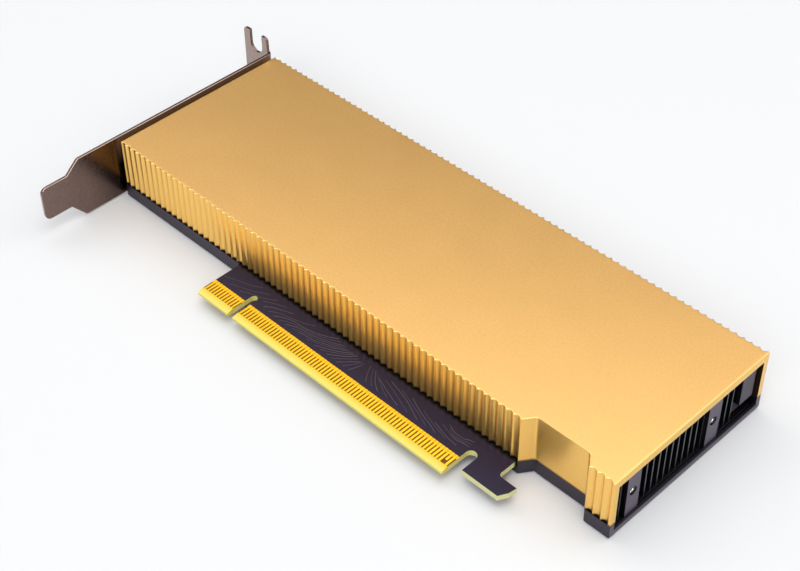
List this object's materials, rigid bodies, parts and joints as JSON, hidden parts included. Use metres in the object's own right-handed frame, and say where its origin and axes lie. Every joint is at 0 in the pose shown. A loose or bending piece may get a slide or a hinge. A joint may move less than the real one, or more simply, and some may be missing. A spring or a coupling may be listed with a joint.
{
  "type": "passive accelerator card",
  "caption": "Low-profile expansion card cooled by the server's airflow: a fluted gold cover open at both ends over a fin stack, with a shallow tray, an edge connector and a folded bracket.",
  "frame": {"origin": "middle of the bounding box in X and Y, at the underside of the tray, which the card rests on", "axes": "+X along the card from the bracket to the tail, +Y from the edge contacts to the far edge, +Z out of the board's component side"},
  "size_m": [0.18, 0.08, 0.0232],
  "materials": {
    "gold_anodised": "fine satin, gold anodised",
    "black_anodised": "satin, black anodised",
    "dark_aluminium": "satin, black anodised",
    "copper": "bare copper",
    "board_laminate": "solder mask, satin",
    "gold_plating": "gold plated, bright",
    "package_laminate": "satin",
    "silicon": "polished",
    "nickel_steel": "nickel plated, semi-bright",
    "chip_resin": "matte",
    "thermal_pad": "matte, soft",
    "ferrite": "matte",
    "ceramic_tan": "satin",
    "black_screw": "black oxide"
  },
  "bodies": {
    "root": {"top_cover": "gold_anodised", "back_tray": "black_anodised", "heatsink": "dark_aluminium", "spreader_plate": "copper", "circuit_board": "board_laminate", "contacts_component_side": "gold_plating", "contacts_solder_side": "gold_plating", "processor_substrate": "package_laminate", "processor_die": "silicon", "package_stiffener": "nickel_steel", "memory_chips_front": "chip_resin", "memory_chips_back": "chip_resin", "memory_pads_front": "thermal_pad", "memory_pads_back": "thermal_pad", "inductors": "ferrite", "inductor_pads": "thermal_pad", "power_stages": "chip_resin", "power_stage_pads": "thermal_pad", "polymer_capacitors": "chip_resin", "ceramic_capacitors": "ceramic_tan", "voltage_controller": "chip_resin", "firmware_chip": "chip_resin", "clock_crystal": "nickel_steel", "io_bracket": "nickel_steel", "bracket_screws": "black_screw", "case_screws": "black_screw", "heatsink_screws": "black_screw"}
  },
  "joints": []
}
